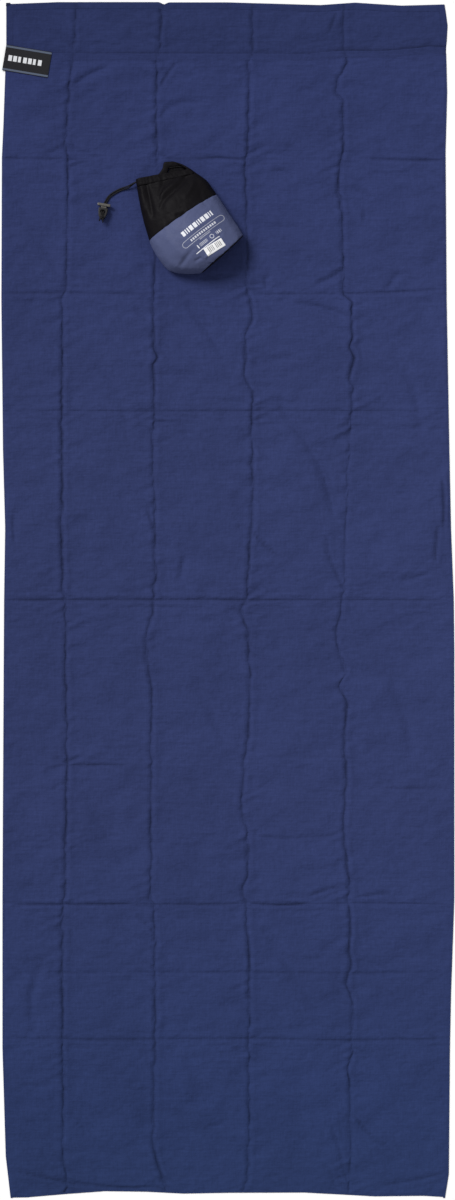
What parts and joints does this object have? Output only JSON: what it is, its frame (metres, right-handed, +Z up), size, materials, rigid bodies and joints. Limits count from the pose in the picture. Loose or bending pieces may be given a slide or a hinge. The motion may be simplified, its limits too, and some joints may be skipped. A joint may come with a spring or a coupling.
{
  "type": "sleeping bag liner with stuff sack",
  "caption": "Rectangular cotton sleeping bag liner laid flat, with a hemmed head strip, pressed fold creases, a side label, and a drawcord stuff sack with a sprung cord lock lying on it.",
  "frame": {"origin": "on the surface that the liner lies on, under the middle of its length and width", "axes": "+Z up out of the front layer, +Y towards the head, where the mouth and the head strip are, +X to the right seen from above"},
  "size_m": [0.833, 2.2, 0.0649],
  "materials": {
    "cotton": "thin navy blue cotton, matt, with a fine horizontal slub and pressed creases",
    "cotton_hem": "the same cotton, turned under and stitched, so a little darker",
    "woven_label": "black woven tape with blue-grey edges",
    "sack_black": "black woven polyester, slight sheen",
    "sack_blue": "grey-blue woven polyester, slight sheen",
    "sticker_paper": null,
    "cord": "black braided polyester cord",
    "lock_plastic": "black moulded plastic, satin",
    "spring_steel": "bright spring wire"
  },
  "bodies": {
    "head_half": {"back_head_half": "cotton", "front_head_half": "cotton", "mouth_hem": "cotton_hem", "seam_left_head_half": "cotton", "seam_right_head_half": "cotton"},
    "middle": {"back_middle": "cotton", "front_middle": "cotton", "seam_left_middle": "cotton", "seam_right_middle": "cotton"},
    "foot": {"back_foot": "cotton", "front_foot": "cotton", "seam_left_foot": "cotton", "seam_right_foot": "cotton", "foot_seam": "cotton"},
    "head_flap": {"head_strip": "cotton", "head_hem_left": "cotton_hem", "head_hem_right": "cotton_hem", "head_hem_top": "cotton_hem"},
    "label_tab": {"label": "woven_label"},
    "sack": {"sack_mouth_casing": "sack_black", "sack_upper_shell": "sack_black", "sack_lower_shell": "sack_blue", "sack_base": "sack_black", "sack_sticker": "sticker_paper", "drawcord_loop": "cord", "drawcord_strand_upper": "cord", "drawcord_strand_lower": "cord"},
    "lock": {"lock_body": "lock_plastic", "lock_spring": "spring_steel", "drawcord_knot": "cord"},
    "plunger": {"lock_plunger": "lock_plastic"}
  },
  "joints": [
    {"name": "half_fold", "type": "hinge", "parent": "head_half", "child": "middle", "pos_m": [0, 0, 0.00225], "axis": [-1, 0, 0], "range_deg": [0, 172]},
    {"name": "foot_fold", "type": "hinge", "parent": "middle", "child": "foot", "pos_m": [0, -0.559, 0.0021], "axis": [-1, 0, 0], "range_deg": [0, 180]},
    {"name": "head_fold", "type": "hinge", "parent": "head_half", "child": "head_flap", "pos_m": [0, 1.026, 0.0024], "axis": [1, 0, 0], "range_deg": [0, 180]},
    {"name": "label_turn", "type": "hinge", "parent": "head_half", "child": "label_tab", "pos_m": [-0.41117, 0.998, 0.0024], "axis": [-0.165, -0.9863, 0], "range_deg": [0, 180]},
    {"name": "sack_lift", "type": "slide", "parent": "head_half", "child": "sack", "axis": [0, 0, 1], "range_m": [0, 0.15]},
    {"name": "lock_slide", "type": "slide", "parent": "sack", "child": "lock", "axis": [0.1702, 0.9854, 0], "range_m": [0, 0.016], "deforming": ["drawcord_strand_upper", "drawcord_strand_lower"]},
    {"name": "lock_press", "type": "slide", "parent": "lock", "child": "plunger", "axis": [-0.1702, -0.9854, 0], "range_m": [0, 0.003], "stiffness_N_per_m": 300, "springref_m": -0.003, "deforming": ["lock_spring"]}
  ]
}
